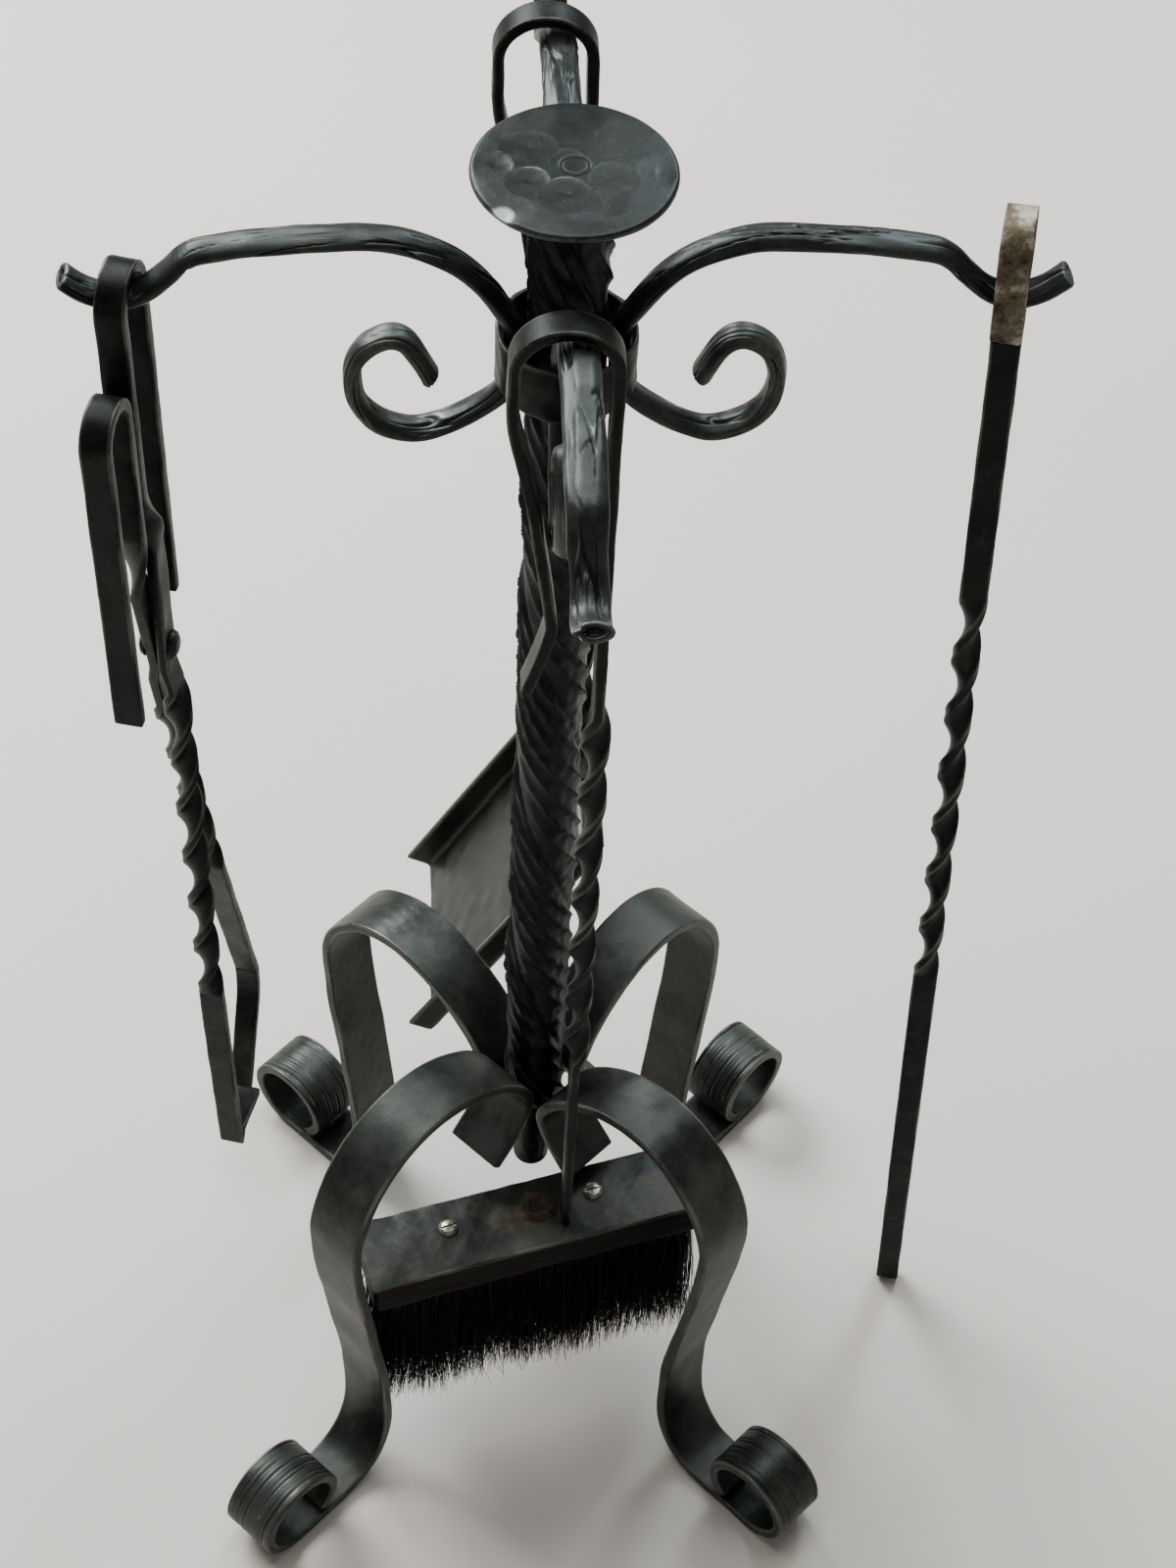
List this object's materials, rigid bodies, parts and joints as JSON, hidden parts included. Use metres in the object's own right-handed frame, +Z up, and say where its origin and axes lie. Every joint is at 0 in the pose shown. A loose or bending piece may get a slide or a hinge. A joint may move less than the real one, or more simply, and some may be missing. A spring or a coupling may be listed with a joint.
{
  "type": "fireplace tool set",
  "caption": "Forged iron hearth tool stand with twisted post, arms and coiled feet, holding a brush, a shovel, a poker and tongs with strap handles.",
  "frame": {"origin": "on the floor, on the axis of the centre post, in the middle of the four arms; the leaning poker makes the whole box reach further on the right than on the left", "axes": "+Z up along the post, +X towards the right arm, +Y towards the back arm"},
  "size_m": [0.3344, 0.2971, 0.6741],
  "materials": {
    "forged_iron": "blackened and waxed, forged",
    "bark_iron": "blackened, grooved like bark",
    "hammered_iron": "blackened, hammered",
    "rusty_weld": "rusty",
    "sheet_steel": "blackened sheet, worn",
    "dark_wood": "dark stained",
    "screw_steel": "dull",
    "bristles": "coarse black hair"
  },
  "bodies": {
    "stand": {"centre_post": "forged_iron", "top_disc": "hammered_iron", "arm_collar": "forged_iron", "arm_left": "bark_iron", "arm_right": "bark_iron", "arm_front": "bark_iron", "arm_back": "bark_iron", "leg_front_left": "forged_iron", "leg_front_right": "forged_iron", "leg_back_left": "forged_iron", "leg_back_right": "forged_iron"},
    "brush": {"brush_handle": "forged_iron", "brush_weld": "rusty_weld", "brush_plate": "sheet_steel", "brush_block": "dark_wood", "brush_screws": "screw_steel", "brush_bristles": "bristles"},
    "shovel": {"shovel_handle": "forged_iron", "shovel_pan": "sheet_steel"},
    "poker": {"poker": "forged_iron"},
    "tongs_a": {"tongs_half_a": "forged_iron", "tongs_rivet": "forged_iron"},
    "tongs_b": {"tongs_half_b": "forged_iron"}
  },
  "joints": [
    {"name": "brush_lift", "type": "slide", "parent": "stand", "child": "brush", "axis": [0, 0, 1], "range_m": [0, 0.006]},
    {"name": "shovel_lift", "type": "slide", "parent": "stand", "child": "shovel", "axis": [0, 0.8983, 0.4394], "range_m": [0, 0.075]},
    {"name": "poker_lift", "type": "slide", "parent": "stand", "child": "poker", "axis": [-0.0541, 0.0105, 0.9985], "range_m": [0, 0.05]},
    {"name": "tongs_lift", "type": "slide", "parent": "stand", "child": "tongs_a", "axis": [-0.8, 0, 0.6], "range_m": [0, 0.06]},
    {"name": "tongs_pivot", "type": "hinge", "parent": "tongs_a", "child": "tongs_b", "pos_m": [-0.136, 0, 0.4649], "axis": [0.9703, -0.2419, 0], "range_deg": [0, 25]}
  ]
}
